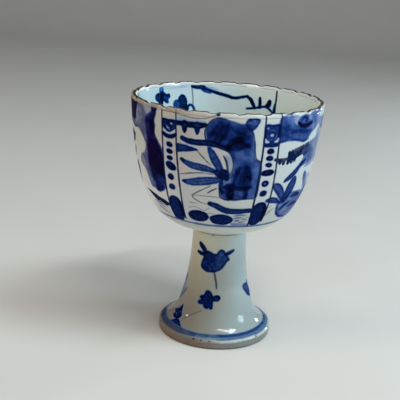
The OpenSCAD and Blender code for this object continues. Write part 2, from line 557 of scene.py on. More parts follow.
slantedKnot = [
    patch("ink", 0.88, (-4.7, 95.6), (0, 95.8), (4.6, 95.7), (4.6, 93.2), (2.6, 91.7), (0, 91.0), (-2.6, 91.7),
          (-4.7, 93.1)),
    stroke("ink", 0.86, 1.6, (-4.5, 90.3), (-2.2, 89.5), (0, 89.3), (2.2, 89.5), (4.5, 90.3)),
    dot("ink", 0.94, (7.4, 3.2), (0.5, 77.8), -0.4),
    dot("bare", 0.75, (1.7, 1.0), (1.7, 94.2)),
    stroke("bare", 0.7, 0.8, (-1.6, 93.1), (-0.6, 92.6), (0.3, 92.2)),
    stroke("bare", 0.3, 0.4, (-4, 94.9), (-2, 94.7)),
    stroke("bare", 0.3, 0.4, (-4, 93.8), (-2.4, 93.7)),
    stroke("bare", 0.3, 0.4, (3.6, 94.8), (3.8, 93.4), (2.4, 92.2), (0.6, 91.7), (-1.8, 92)),
]
flatKnot = [
    patch("ink", 0.7, (-4.8, 96.2), (0, 96.3), (4.6, 96.2), (4.7, 92), (4.6, 88.4), (0, 87.9), (-4.7, 88.4),
          (-4.8, 92)),
    dot("ink", 0.88, (8.2, 2.5), (0.2, 77.8), 0.1),
    dot("bare", 0.8, (2.4, 1.2), (-0.2, 92.4)),
    dot("bare", 0.6, (1.4, 0.9), (-3.2, 95)),
    stroke("bare", 0.45, 0.4, (-2.9, 92.8), (-2.4, 91.4), (0, 90.8), (2.2, 91.4), (2.9, 92.8)),
    stroke("bare", 0.3, 0.4, (-3.4, 94), (-1.4, 94.4), (1.2, 94.2), (3.2, 93.6)),
    leaf("bare", 0.85, 1.3, (-4.5, 91.4), (-3.7, 90.2), (-1.2, 89.7)),
    leaf("bare", 0.85, 1.3, (4.4, 91.4), (3.4, 90.2), (1.0, 89.7)),
    stroke("line", 0.8, 1.1, (-4.6, 88.8), (0, 88.4), (4.6, 88.8)),
    dot("bare", 0.4, (1.2, 0.6), (0.4, 83.5), 0.1),
    dot("bare", 0.55, (1.2, 0.5), (0.3, 80.9), 0.1),
    dot("bare", 0.55, (1.3, 0.8), (-0.2, 73.4)),
]

rockAndLeaves = [
    stroke("line", 0.6, 0.5, (-38, 98.6), (-28.5, 98.6), (-24, 98), (-17, 97.6), (-11, 98), (-6, 99.2)),
    dot("line", 1.0, (2.4, 1.5), (-4.6, 99.8)),
    patch("wash", 0.16, (-28.4, 97.6), (-20, 96.9), (-12, 97), (-11, 95.4), (-20, 95.2), (-28.4, 95.4)),
    stroke("ink", 0.85, 2.1, (-28.6, 95.1), (-22, 94.9), (-15, 95.0), (-11.2, 95.4)),
    drop("ink", 0.9, 2.6, (-23.2, 95), (-23.2, 93.2), (-23.2, 91.7)),
    drop("ink", 0.78, 2.5, (-16.0, 95), (-15.8, 93.2), (-15.7, 91.6)),
    stroke("ink", 0.8, 2.2, (-24.6, 89.6), (-21, 88.8), (-16, 88.6), (-10, 88.8), (-5, 88.4), (2, 87)),
    dot("line", 0.9, (2.4, 1.0), (-24.6, 89.6), -0.2),
    # rock
    patch("wash", 0.62, (-11, 93), (-9.5, 96), (-6, 98), (-2, 98.5), (3, 97.6), (8, 96.7), (11, 96.6), (14.5, 94.5),
          (16.3, 90.5), (17.2, 87), (18, 83.8), (21.8, 81.2), (22.2, 75), (22, 68), (15, 67.2), (4, 66.4),
          (-0.2, 67.6), (-1.8, 70.5), (-1, 73.5), (3.5, 76.3), (5.4, 80), (4.8, 83.5), (1.5, 86.4), (-4, 87.7),
          (-9, 89)),
    stroke("line", 0.9, 0.6, (0, 97.9), (-3.6, 98.4), (-7, 97.8), (-10, 95.6), (-11.4, 92.6), (-10, 89.6), (-5, 88.2),
          (0.6, 86.6), (4, 84.6), (5.4, 81.4), (5, 78.6), (3.4, 76.6)),
    stroke("line", 0.85, 0.6, (12.6, 95.4), (15.2, 93), (16.6, 89.6), (17.4, 85.6), (18.6, 83.4), (21.8, 81.2),
          (22.3, 76), (22.1, 70), (21.8, 67.4)),
    stroke("line", 0.85, 0.6, (0.6, 76.2), (-1.4, 73), (-1.8, 70.2), (-0.4, 67.4), (6, 66.8), (14, 67.1),
          (21.8, 67.4)),
    shade("wash", 0.76, 1.6, (-9.8, 95), (-7, 96.8), (-5, 93.4), (-6.4, 90), (-9.8, 90.4)),
    shade("wash", 0.92, 1.8, (-3.4, 97.2), (1.6, 96), (1, 93), (-1.6, 89.8), (-4.8, 88.8), (-7.2, 90.6), (-6, 94)),
    shade("wash", 0.78, 2.0, (1, 95.4), (6, 95.2), (11, 94.8), (14, 91.8), (15, 88.4), (8, 88.6), (2, 89), (0, 91.6)),
    shade("wash", 0.94, 1.6, (0.6, 88), (4, 91), (8, 91.8), (11.6, 90.4), (14, 88.2), (10, 87.2), (5, 86.2),
          (2, 86.4)),
    shade("wash", 0.55, 1.6, (6.6, 85.8), (13, 86.8), (17.4, 84.8), (17.6, 81.4), (12, 82), (8, 82)),
    shade("wash", 0.5, 2.0, (17.4, 82.6), (22.4, 81), (22.6, 72.6), (18, 72)),
    patch("ink", 0.5, (10.6, 97.2), (12.4, 98.6), (17.8, 98.5), (18.3, 97.4), (15.4, 94.6), (12, 94.8)),
    dot("line", 0.9, (2.2, 1.0), (12.8, 98.2)),
    dot("line", 0.95, (2.2, 0.8), (16.6, 98.4)),
    stroke("line", 0.8, 0.5, (11, 95.2), (13, 96.2), (15.6, 95.4)),
    shade("wash", 0.86, 1.0, (5.8, 73.5), (7.2, 79), (10, 80.8), (13.4, 81), (16, 79.2), (17, 75.5), (16.4, 71.8),
          (11, 71.6), (6.4, 71.8)),
    shade("wash", 1.0, 1.6, (11.4, 80), (14.6, 80), (16.4, 76.6), (15, 73.4), (12.4, 75), (12, 79)),
    shade("wash", 0.66, 1.4, (9.2, 77.4), (10.8, 78.2), (11.4, 75), (10.6, 72.2), (9, 73)),
    shade("wash", 0.36, 1.6, (0, 75.6), (3.6, 76.2), (4.6, 74), (3.4, 71.4), (-0.6, 71.4), (-1.2, 73.4)),
    shade("wash", 1.02, 1.2, (1.2, 72.4), (3.4, 73.4), (7.4, 73), (7.6, 69.6), (6.8, 67.2), (3.6, 67.2), (2.2, 69.4)),
    shade("wash", 1.04, 1.0, (12.8, 72.6), (16, 72.6), (16.2, 69.4), (15.8, 67.2), (13.4, 67.2), (13, 69.6)),
    shade("wash", 0.6, 1.4, (8.2, 71.2), (12.4, 71.2), (12.6, 66.6), (8, 66.6)),
    shade("wash", 0.45, 1.6, (17, 71.6), (22.6, 72.4), (22.6, 66.8), (16.6, 66.8)),
    stroke("ink", 0.5, 1.5, (0.6, 72), (6, 71.8), (12, 71.6), (17, 72.2)),
    tail("ink", 0.4, 1.3, (-8.6, 91.2), (-6.6, 93.4), (-4.6, 95.6)),
    tail("ink", 0.45, 1.4, (-6.2, 89.8), (-3.6, 92.8), (-1.2, 95.8)),
    tail("ink", 0.4, 1.2, (-3.6, 89), (-1, 91.8), (1.6, 94.8)),
    tail("ink", 0.34, 1.2, (3.4, 94.8), (6.6, 93.2), (10.6, 92.8)),
    tail("ink", 0.3, 1.1, (6.4, 72.6), (7.2, 76.2), (9.4, 79.6)),
    tail("ink", 0.3, 1.1, (9.6, 72.4), (10.4, 75.4), (11.8, 78.6)),
    # leaves, each with a black tip
    patch("ink", 0.7, (-28, 87), (-24, 87.2), (-19.5, 86.7), (-15.2, 85.8), (-19.5, 84.9), (-24, 84.5), (-28, 84.2)),
    dot("line", 0.8, (1.4, 2.6), (-27.6, 85.6)),
    dot("line", 0.9, (2.4, 0.8), (-16.4, 85.8)),
    stroke("line", 0.85, 0.5, (-16, 85.8), (-11.5, 82.8), (-7.5, 80.4)),
    leaf("ink", 0.52, 2.7, (-26.5, 81.6), (-20, 79.8), (-13, 79.1), (-7, 78.4), (1.5, 76.6)),
    stroke("line", 0.7, 0.45, (-21, 79.9), (-13, 79.1), (-5, 78)),
    dot("line", 1.0, (3.8, 1.6), (-24.6, 81.2), -0.3),
    stroke("line", 0.8, 0.45, (-27.4, 75.2), (-20, 76.3), (-13, 77.0), (-6, 76.8)),
    leaf("ink", 0.5, 3.3, (-25.6, 72.8), (-20, 72.8), (-14, 73.5), (-8, 74.2), (-2, 74.9), (1.5, 75.8)),
    stroke("line", 0.6, 0.45, (-20, 72.9), (-12, 73.7), (-3, 74.8)),
    dot("line", 1.0, (3.4, 1.2), (-23.9, 72.8)),
    leaf("ink", 0.54, 3.0, (-9.4, 87.6), (-6.8, 84.6), (-4.2, 81.6), (-1.6, 78.6), (1.4, 76)),
    stroke("line", 0.6, 0.45, (-6.6, 84.2), (-3.6, 81), (-0.6, 77.8)),
    stroke("line", 0.9, 0.8, (-0.4, 84.4), (1.3, 82.2), (2.3, 79.4), (2.6, 77.2)),
    leaf("wash", 0.15, 2.4, (0.6, 85.2), (3.2, 82.4), (4.2, 79.6), (3.6, 76.8)),
    patch("ink", 0.6, (-6, 78.2), (-2.4, 79.2), (1.4, 79), (3.4, 77.4), (2.8, 74.8), (-1, 75.2), (-4.6, 76.6)),
    shade("ink", 0.88, 2.4, (-4, 78), (0.6, 78.8), (4, 77), (2.4, 74.6), (-1.4, 75.4)),
    stroke("ink", 0.44, 1.6, (-0.8, 74.4), (-1.1, 73), (-1, 71.2), (0.2, 69.8)),
    # ground
    stroke("line", 0.8, 0.5, (-7.5, 72), (-13, 70), (-19, 67.4), (-17.5, 65.9), (-13, 64.6), (-9.4, 64.4)),
    stroke("line", 0.6, 0.4, (-21, 67.4), (-12, 67.7), (-6, 67.7), (-1.4, 67.6)),
    stroke("line", 0.85, 0.6, (-9, 69.1), (-6.4, 70.3), (-3.6, 71.3)),
    stroke("ink", 0.7, 2.6, (-7.4, 64.6), (-4, 64), (0, 62.8), (4, 61.9), (9, 61.7), (14, 61.8), (19.4, 62)),
    dot("line", 0.9, (3, 1.2), (-7.6, 64.6)),
    stroke("line", 0.6, 0.5, (-6, 64.9), (-1, 63.9), (3, 62.8)),
    dot("ink", 0.86, (15.2, 5.2), (-16.4, 58.4), 0.1),
    dot("ink", 0.8, (16.6, 5.0), (0.4, 57.6)),
    dot("line", 0.7, (9, 2.2), (-15, 57.4), -0.2),
    dot("line", 0.5, (7, 1.6), (0, 57.4)),
    stroke("line", 0.5, 0.4, (-25, 57), (-22, 55.8), (-18, 55.5)),
    stroke("line", 0.55, 0.4, (-22.6, 61.6), (-20, 62.4), (-16.6, 62.3), (-13, 61.4), (-10.6, 61.6), (-8, 62.6)),
    stroke("line", 0.6, 0.45, (-22, 64.2), (-16.6, 64)),
    stroke("line", 0.6, 0.5, (-9.4, 60.2), (-4.6, 60.2)),
    stroke("line", 0.8, 0.5, (10.4, 59.6), (13, 60), (17, 60)),
    stroke("line", 0.8, 0.5, (10.6, 58.6), (14.6, 58.9)),
    stroke("line", 0.9, 0.6, (11, 57.2), (13.6, 57.4)),
    stroke("line", 0.8, 0.5, (14, 56.4), (17.6, 56.8)),
    stroke("line", 0.7, 0.45, (15.6, 58.3), (18.8, 57.8)),
    stroke("wash", 0.3, 1.6, (9, 55.6), (14, 55.5), (20, 55.4)),
    patch("wash", 0.13, (9, 60.2), (14, 60.6), (19.4, 60), (19.6, 57), (14, 56.4), (9, 57)),
]

cloudBand = [
    patch("wash", 0.52, (30.2, 97.8), (34, 99.6), (39, 99.8), (41.2, 97), (44, 95.4), (50, 95.4), (57, 95.8),
          (63, 95.6), (67, 94.6), (64, 93), (60, 91.8), (56, 90), (52, 88.7), (46, 89.6), (38, 90.1), (30.6, 89.6)),
    shade("wash", 0.7, 2.2, (29.6, 97), (35, 97.4), (38, 95.6), (42, 93.6), (44, 91.4), (40, 90.2), (34, 89.8),
          (29.6, 89.4)),
    # a pale gap in the cloud, partly painted highlight
    patch("wash", 0.2, (38.6, 99.6), (43, 99.4), (44.4, 97), (42, 96), (39.8, 97.4)),
    shade("wash", 0.4, 1.6, (34, 99), (38.6, 99.6), (40.6, 97.2), (38, 96.4), (34.6, 97.2)),
    shade("wash", 0.36, 2.4, (58, 95.8), (64, 95.8), (68, 94.4), (64, 92.6), (60, 91.4), (57.6, 92)),
    stroke("ink", 0.4, 0.7, (30.4, 89.4), (38, 90), (45, 89.7), (51, 88.8), (56, 89.4)),
    shade("wash", 0.5, 1.6, (29.4, 99.6), (33, 99.8), (35, 97.4), (33, 95.8), (29.4, 96)),
]
cloudCurl = [
    leaf("ink", 0.2, 1.4, (40, 93.2), (47, 93), (54, 92.4), (59, 92.6)),
    patch("wash", 0.6, (43.4, 97.2), (45.4, 98.8), (50, 99.2), (55, 98.4), (57.4, 96.6), (54, 95), (48, 94.7),
          (44.6, 95.6)),
    # painted highlight: the wash is lighter here
    shade("wash", 0.3, 1.2, (52.6, 99.2), (57, 98.8), (57.8, 96.8), (54, 97)),
    stroke("ink", 0.74, 1.5, (44, 96.2), (47, 95.1), (52, 94.8), (56.8, 95.6)),
    stroke("ink", 0.34, 0.9, (46.4, 97.2), (48.6, 98.2), (51.4, 97.6), (50, 96.6)),
]

bushLeaves = [
    leaf("ink", 0.54, 3.5, (33, 72.6), (36, 71.4), (39, 69.6), (41.6, 67.4), (45, 63.6)),
    leaf("ink", 0.6, 4.8, (50.2, 74.4), (49, 71.2), (47.4, 68), (46, 63.6)),
    leaf("ink", 0.54, 2.5, (29.8, 66), (34, 66), (38, 65.4), (44, 63.6)),
    stroke("line", 0.5, 0.4, (32, 66), (37, 65.6), (41, 64.6)),
    stroke("line", 0.6, 0.5, (34.6, 60.6), (38.6, 62)),
    stroke("line", 0.6, 0.5, (33, 58.8), (37, 60.6)),
    stroke("line", 0.5, 0.4, (34.2, 62.6), (36.4, 63.4)),
]
bushFoot = [
    patch("wash", 0.4, (33, 59.6), (36, 62.6), (41, 64.4), (46, 64.6), (49, 62), (48, 58.6), (42, 57), (36, 57.2)),
    shade("wash", 0.62, 2.0, (39, 64), (45, 65), (49, 62), (46, 60), (41, 61)),
]
bushRock = [
    patch("wash", 0.16, (64, 72), (68, 74), (76, 73.4), (80.6, 72), (80.8, 66), (70, 66.6), (65, 68)),
    leaf("wash", 0.46, 3.2, (60.4, 75.6), (63, 73.4), (66, 70.8), (70, 67.6)),
    patch("wash", 0.5, (40.6, 63), (43, 66), (47, 66.6), (52, 68), (57, 67.8), (64, 67.4), (72, 67), (80.6, 66.8),
          (80.8, 61), (80.6, 55.4), (70, 55.4), (60, 55.6), (52, 56.8), (46, 58.6), (42.4, 60.6)),
    shade("wash", 0.56, 3.0, (68, 68), (81, 68), (81, 55), (70, 55)),
    shade("wash", 0.38, 2.4, (40, 66), (47, 67.4), (53, 68), (56, 65), (53, 61), (50, 57), (44, 58.6), (40, 62)),
    shade("wash", 0.36, 1.8, (42, 65.4), (45, 67), (50, 67.2), (53, 65.4), (49, 63), (46, 61), (43, 62)),
    stroke("ink", 0.38, 0.9, (41, 63.4), (42.6, 60.4), (46, 58.4), (52, 56.8), (58, 56.2)),
    leaf("ink", 0.4, 1.6, (45, 60.6), (49, 62.4), (54, 63.6)),
    leaf("ink", 0.34, 1.8, (52, 65.8), (58, 66.2), (66, 65.4)),
    leaf("ink", 0.28, 1.6, (54, 61), (60, 62), (68, 61.4)),
]

tallRock = [
    patch("wash", 0.5, (66, 95), (69.4, 96), (72, 96.8), (73, 98.4), (73, 100.6), (78.4, 100.6), (77.2, 97.4),
          (75.4, 94), (75.8, 92), (75.4, 89.4), (77, 87.2), (79.8, 84.6), (81.6, 80.6), (81.8, 76), (81.4, 69),
          (77.6, 66.2), (72, 65.4), (67.4, 68), (65.6, 74), (66.6, 82), (66, 90), (65, 96)),
    shade("wash", 0.92, 2.4, (67.6, 94), (70.6, 95.6), (73.4, 97), (73.6, 101), (78.6, 101), (77.2, 96.6),
          (75.8, 94.2), (76.2, 92), (75.6, 89.4), (77.4, 87.4), (80.2, 84.8), (82, 80.6), (82.2, 76), (81.8, 70.6),
          (79, 69), (75, 67.6), (71, 69.4), (68.4, 73), (67.4, 78), (68, 83), (67.4, 87), (66.8, 91)),
    shade("wash", 1.15, 2.6, (69.4, 84.5), (74, 87), (79.6, 83), (82.4, 78), (82, 73.6), (77, 72.4), (71, 74.5),
          (68.6, 78)),
    shade("wash", 1.05, 1.6, (71.6, 94.6), (75.2, 93.4), (75, 91), (74.2, 88), (71, 89.6)),
    shade("wash", 0.85, 1.6, (71.4, 65.6), (76, 66), (80, 68), (78, 70.4), (73, 70)),
    stroke("line", 0.7, 0.5, (77, 96.8), (75.5, 94.2), (75.9, 92), (75.4, 89.4), (77, 87.2), (80, 84.6),
          (81.8, 80.6)),
    tail("line", 1.0, 3.0, (57, 64.2), (63, 63.1), (69, 61.9), (75, 61.2), (81.6, 60.8)),
    leaf("line", 0.55, 1.0, (62, 60.6), (69, 59.6), (77, 58.2)),
    leaf("line", 0.6, 1.1, (66, 58.6), (72, 57.4), (79, 56)),
    stroke("line", 0.35, 0.5, (70, 61), (75, 60), (79, 58.8)),
    leaf("line", 0.36, 0.8, (56, 58.8), (62, 57.8), (68, 56.6)),
    leaf("line", 0.3, 0.8, (53, 68.6), (58, 67.4), (64, 66)),
]

# grey washes beside the tall rock, with a pale hollow between them
rockShade = [
    patch("wash", 0.16, (61, 100.6), (74, 100.6), (74, 95), (61, 95)),
    patch("wash", 0.45, (50, 97.6), (55, 99.6), (61, 100.2), (64, 99), (66, 97), (68, 95), (67.4, 88), (67, 80),
          (67.4, 72), (70, 67), (66, 66.4), (64, 68.6), (62.6, 71.6), (60.4, 73.4), (56.4, 74.6), (56, 77), (59, 79),
          (63, 80), (65.4, 82.2), (65.4, 84), (63, 86.2), (59, 88.2), (54, 89.8), (50.6, 91.8)),
    shade("wash", 0.42, 1.6, (57, 98.4), (62, 99), (63, 95), (61, 92), (57.6, 93)),
    shade("wash", 0.32, 2.4, (55, 77), (60, 78.4), (63, 74), (62, 68), (56, 70)),
    shade("wash", 0.36, 1.6, (50.4, 97.6), (57, 98), (57.6, 93), (54, 91), (50, 92)),
    patch("wash", 0.92, (29.6, 101), (57, 101), (56.8, 98), (55.2, 96), (54.2, 94), (53, 92), (48, 91.4), (40, 91.4),
          (29.6, 91)),
    stroke("line", 0.3, 0.5, (57, 80.4), (61, 79.8), (64.6, 81.2), (66, 83.2), (64.6, 85.4), (61, 87.4)),
    stroke("line", 0.25, 0.5, (58, 70), (61, 73.6), (63, 77.6)),
]

# branch, and the needles of the pine as short teeth along it
pineBranch = [
    patch("wash", 0.2, (66, 92), (72, 92.4), (80.6, 92), (80.8, 84), (80.6, 79), (70, 78), (63, 77.4), (57, 77.6),
          (60, 79), (66, 84)),
    patch("wash", 0.46, (55, 98.8), (61, 98.8), (66, 97.4), (72, 96.6), (80.6, 96.6), (80.8, 91), (76, 91.4),
          (70, 92.8), (66, 94.8), (58, 95.6)),
    leaf("wash", 0.42, 2.2, (53, 98.4), (58, 98.8), (63, 99.4), (70, 99.6)),
    shade("wash", 0.34, 2.0, (63, 98), (70, 97), (72, 93), (66, 93.4)),
    patch("wash", 0.34, (55, 87.4), (60, 88.4), (64, 88.8), (68, 89.5), (80.6, 89.6), (80.8, 84), (80.6, 80.6),
          (74, 80), (66, 79.4), (60, 79), (55, 78.4), (52.4, 78.8), (52.6, 80.6), (54, 82), (53, 84.6)),
    shade("wash", 0.5, 2.6, (52, 78.4), (58, 78.8), (66, 79.6), (67, 83), (62, 85.6), (55, 85.4), (53, 82)),
    shade("wash", 0.26, 3.0, (72, 89), (81, 89.4), (81, 80), (74, 80)),
    patch("line", 0.95, (39.4, 82.4), (39.8, 84.8), (43, 85.6), (46, 86.4), (50, 87), (54, 87.2), (58, 87),
          (62, 86.2), (64, 85), (61, 84), (58, 83.2), (54, 82.6), (52, 83.4), (48, 82.6), (45.4, 81.6), (42, 81.2)),
    shade("line", 0.72, 3.0, (55, 87.8), (66, 87), (66, 83), (54.4, 82)),
    shade("line", 0.3, 4.0, (60, 88.4), (68, 88.4), (68, 82.6), (59.6, 82.4)),
    stroke("line", 0.9, 1.5, (30.4, 82.8), (34, 82.4), (40, 82.6)),
    leaf("ink", 0.62, 2.5, (40.2, 73.2), (44.6, 74.7), (49, 76.7), (53, 79.2), (58, 81)),
]
for k in range(8):
    turn, rise = 40.2 + 2.3 * k, 84.7 + 0.32 * k
    pineBranch.append(dot("line", 0.95, (2.3, 2.4), (turn, rise)))
for turn, rise in ((34.2, 81.6), (36.8, 81.2), (40.2, 81.2), (43, 81.4), (45.6, 82)):
    pineBranch.append(dot("line", 0.94, (2.5, 2.0), (turn, rise)))

# only the tip of that branch, where the hollow takes the rest of the panel
pineTip = [
    patch("ink", 0.88, (37, 82.4), (37.4, 84.4), (42, 85.4), (46, 85.8), (50, 85.8), (48.4, 83.6), (45, 82),
          (39, 81.4)),
    shade("ink", 0.5, 3.0, (45, 87), (54, 87.4), (52, 83), (45, 81.6)),
    stroke("ink", 0.9, 1.5, (30.4, 82.8), (34, 82.4), (40, 82.6)),
    leaf("ink", 0.7, 2.0, (36, 74), (40, 76), (44, 78), (47.6, 81)),
]
for turn, rise in ((38, 84.4), (40.4, 85), (42.8, 85.6), (45.2, 86), (34.6, 81.6), (37.2, 81.3), (40, 81.3)):
    pineTip.append(dot("ink", 0.85, (2.4, 2.4), (turn, rise)))

innerBranch = [
    stroke("line", 1.0, 0.9, (144.6, 100.2), (144.5, 95), (144.8, 89)),
    patch("wash", 0.14, (206, 100), (198, 99.4), (190, 98), (186, 96.6), (192, 96.4), (200, 97.8)),
    drop("ink", 0.95, 2.0, (145, 86.6), (145.1, 89.4), (145, 93.2)),
    stroke("ink", 0.6, 1.6, (198.6, 97), (195.6, 96.2), (192.4, 95.6)),
    stroke("ink", 0.88, 1.3, (199, 98), (195.4, 97), (190, 95.8), (185, 94.9), (180, 94.2), (176.6, 93.6),
          (172.4, 93.8), (166, 94.8)),
    leaf("ink", 0.84, 2.4, (206.8, 98.3), (203, 98.3), (199, 97.8), (193, 96.4)),
    stroke("ink", 1.0, 1.5, (166.4, 94.7), (163.6, 93.4), (161.8, 91.6), (160.2, 90)),
    stroke("ink", 1.0, 0.9, (166, 89.3), (161, 89.9), (157, 90.5), (152, 91.3)),
    stroke("ink", 1.0, 1.25, (156.8, 90.4), (156.7, 92.6), (157, 94.6)),
    stroke("ink", 1.0, 2.1, (151.6, 91.3), (150, 92.2), (149.4, 93.6)),
    stroke("ink", 0.8, 0.7, (145.6, 88.6), (148.4, 90), (151.4, 91)),
    stroke("line", 0.6, 0.7, (206.4, 98.6), (205.6, 95), (205.2, 91.6), (205, 88)),
]

innerFlowers = [
    # seen from the side, with one tall petal
    leaf("ink", 0.84, 4.6, (213.8, 94), (213.4, 91), (212.4, 86)),
    patch("ink", 0.62, (215.6, 91.4), (217.4, 92.6), (220, 92.2), (221.2, 90.6), (219.6, 89), (216, 88)),
    patch("ink", 0.9, (208.4, 88.8), (211, 90.6), (213.4, 90), (216.6, 89.2), (219, 88.4), (216, 87), (211, 86.8)),
    stroke("ink", 0.62, 1.0, (203.8, 87.4), (205, 89.2), (207.2, 90.1), (209.6, 89.4)),
    patch("wash", 0.15, (229, 100.2), (222, 99.9), (214, 100.2), (208, 99.8), (209, 98), (216, 97.4), (224, 97.2),
          (229, 98)),
    # open flower with ragged petals
    leaf("ink", 0.42, 2.6, (231.8, 99), (231.9, 97), (231.6, 94)),
    patch("ink", 0.78, (229.4, 96.4), (231.6, 97), (233.8, 96.2), (236.6, 96), (238.4, 94.8), (237.4, 93.2),
          (235.2, 92.6), (234.6, 91), (232.6, 90.6), (230.6, 91.2), (229.8, 92.6), (227.4, 91.6), (225.2, 91.6),
          (225.6, 93.2), (223.8, 94), (224.4, 95.4), (227, 95.4)),
    patch("ink", 0.95, (229.6, 95.4), (231.4, 96.4), (233.2, 95.2), (233.2, 92.6), (231.6, 91.4), (229.8, 93)),
    stroke("line", 0.5, 0.6, (231.6, 91), (230, 86), (226, 81)),
]

stemSprays = [
    # open flower with two long horns
    patch("ink", 0.82, (-35, 31), (-33.5, 33), (-30, 35.4), (-27, 37.4), (-21, 37.8), (-15, 37.4), (-10, 36.9),
          (-3, 37), (1, 38.2), (6, 38.9), (12, 38.3), (16, 36.8), (23.5, 34.7), (18, 33.6), (9, 30.9), (-4, 29.4),
          (-18, 28.9), (-30, 29.6)),
    shade("ink", 0.64, 2.0, (-4, 31), (-2, 36.6), (4, 38.2), (14, 38), (20, 35), (12, 32), (4, 30.4)),
    stroke("ink", 0.92, 2.0, (-27, 37), (-34, 38.8), (-41.6, 40)),
    stroke("ink", 0.88, 1.4, (-29, 36), (-37, 36.1), (-45.4, 36.4)),
    stroke("ink", 0.8, 1.3, (14, 36.9), (22, 37.4), (31.6, 38.3)),
    dot("bare", 0.3, (6, 1.3), (5.4, 36.8)),
    stroke("line", 0.8, 0.85, (-6.4, 29.2), (-3.2, 26.8), (-0.8, 24.6), (0.4, 22.4)),
    # small five-petalled flower
    patch("ink", 0.9, (-20.6, 15.4), (-23.5, 17.4), (-21, 19), (-18, 20.9), (-13, 21.3), (-9, 20.6), (-5, 19.2),
          (-2, 18), (-4.6, 16.4), (-4.4, 14.2), (-8, 13.8), (-10.5, 14.4), (-13, 13.9), (-17, 14)),
    leaf("ink", 0.88, 2.5, (5.4, 18.6), (0.6, 18.4), (-9, 17.8)),
    leaf("ink", 0.85, 1.9, (-29.5, 15.8), (-24, 16.2), (-16, 16.6)),
    leaf("ink", 0.85, 1.9, (-27, 18.3), (-21, 18.2), (-14, 18)),
    stroke("line", 0.4, 0.5, (-21, 13), (-30, 11.3), (-38, 9.8), (-47, 7.8)),
    # flower by the ring
    patch("ink", 0.9, (-60, 12.4), (-57.5, 11), (-55, 9.5), (-51.5, 8.6), (-53, 7.3), (-56, 7), (-60, 6.7),
          (-66, 6.8), (-70, 7.1), (-68, 7.8), (-74, 8.6), (-70, 9.4), (-66, 10), (-63, 11.4)),
    patch("ink", 0.85, (-56, 6.9), (-50, 6.8), (-45, 6), (-38, 4.7), (-46, 4.9), (-55, 5), (-64, 5.2), (-60, 6)),
    dot("bare", 0.8, (3, 0.5), (-64, 8)),
    dot("bare", 0.8, (2.4, 0.4), (-58, 9.2)),
    dot("bare", 0.7, (2.6, 0.4), (-67, 8.9)),
    dot("bare", 0.6, (3, 0.4), (-60, 7.5)),
]
stemEdges = [
    patch("wash", 0.36, (-72, 24.6), (-80, 24), (-92, 21), (-92, 13), (-82, 12.4), (-75, 14), (-72, 18)),
    leaf("line", 0.5, 1.6, (-61, 19.6), (-68, 17.6), (-75, 15.2), (-82, 13)),
    leaf("line", 0.4, 1.3, (-71, 24.6), (-78, 23), (-88, 20.6)),
    # dull part of the ring: the real ring, painted greyer and darker on the left as shade
    stroke("bare", 0.25, 3.4, (-110, 4.5), (-60, 4.5), (-20, 4.5), (4, 4.5)),
    stroke("bare", 0.5, 3.4, (-106, 4.5), (-60, 4.5), (-12, 4.5)),
    stroke("bare", 0.75, 3.4, (-102, 4.5), (-66, 4.5), (-30, 4.5)),
    stroke("line", 0.3, 1.8, (-16, 4.8), (-4, 4.9), (8, 5)),
    stroke("line", 0.5, 2.4, (-108, 4.5), (-60, 4.5), (-8, 4.75)),
    stroke("line", 0.74, 2.8, (-100, 4.5), (-66, 4.5), (-40, 4.55), (-22, 4.6)),
    dot("line", 0.6, (6, 0.5), (-13, 44.6)),
    # bud on the far side
    leaf("ink", 0.56, 3.6, (57, 22), (66, 20.8), (76, 19.2), (92, 17)),
    leaf("ink", 0.66, 2.6, (64, 19.6), (74, 18), (86, 15.8)),
    leaf("ink", 0.6, 1.0, (76, 18.4), (76, 21), (73, 23.6)),
    stroke("line", 0.4, 0.6, (80, 18.4), (92, 21), (100, 25), (104, 30)),
]

# Finishes
def tones(*tints):  # cobalt from the thinnest wash to the heaviest stroke
    return dict(zip((0.0, 0.2, 0.42, 0.62, 0.8, 0.92, 1.0), tints))


cobalt = tones((160, 170, 182), (124, 138, 168), (62, 90, 146), (22, 49, 108), (9, 27, 78), (5, 15, 54), (2, 5, 28))
leftCobalt = tones((154, 156, 164), (116, 119, 138), (70, 74, 108), (34, 36, 84), (18, 16, 68), (11, 5, 54),
                   (6, 1, 38))
rightCobalt = tones((158, 168, 180), (117, 131, 154), (61, 86, 129), (26, 53, 106), (9, 28, 82), (4, 14, 60),
                    (2, 4, 30))
innerCobalt = tones((166, 184, 192), (124, 156, 182), (60, 112, 166), (14, 68, 136), (3, 36, 90), (3, 16, 48),
                    (2, 8, 22))
greyCobalt = tones((108, 118, 124), (88, 106, 124), (54, 82, 118), (26, 56, 108), (9, 28, 84), (4, 14, 60),
                   (2, 4, 30))
violetInk = colour(30, 6, 58)
lineInk = colour(9, 26, 66)
kilnSpeck = colour(120, 110, 95)

# painted light, shade and reflection in each glaze's colour, from left to right, at the top and at the bottom of the
# piece: reach and heights in mm
bowlShadeTints = {
    "reach": 39, "top": 90, "bottom": 60,
    "high": {0.02: (169, 172, 170), 0.26: (160, 154, 146), 0.65: (184, 190, 187), 0.96: (174, 188, 191)},
    "low": {0.1: (193, 197, 198), 0.3: (173, 175, 178), 0.6: (190, 197, 194), 0.9: (186, 194, 194)},
    # painted bounce light from below
    "under": (54, 49, colour(212, 218, 209)),  # paler below these heights
}
# painted reflection: the inside is tinted bluer on the left, where it mirrors the light
insideReflectionTints = {
    "reach": 39, "top": 100, "bottom": 82,
    "high": {0.04: (168, 189, 194), 0.38: (178, 194, 196), 0.6: (186, 197, 193), 0.96: (202, 208, 202)},
    "low": {0.04: (168, 190, 194), 0.38: (182, 197, 197), 0.6: (190, 200, 195), 0.96: (202, 208, 202)},
}
stemShadeTints = {
    "reach": 12, "top": 46, "bottom": 4,
    "high": {0.1: (160, 154, 136), 0.42: (168, 170, 158), 0.6: (167, 174, 168), 0.9: (164, 181, 184)},
    "low": {0.1: (107, 102, 94), 0.42: (114, 118, 110), 0.6: (122, 129, 124), 0.9: (132, 143, 142)},
}

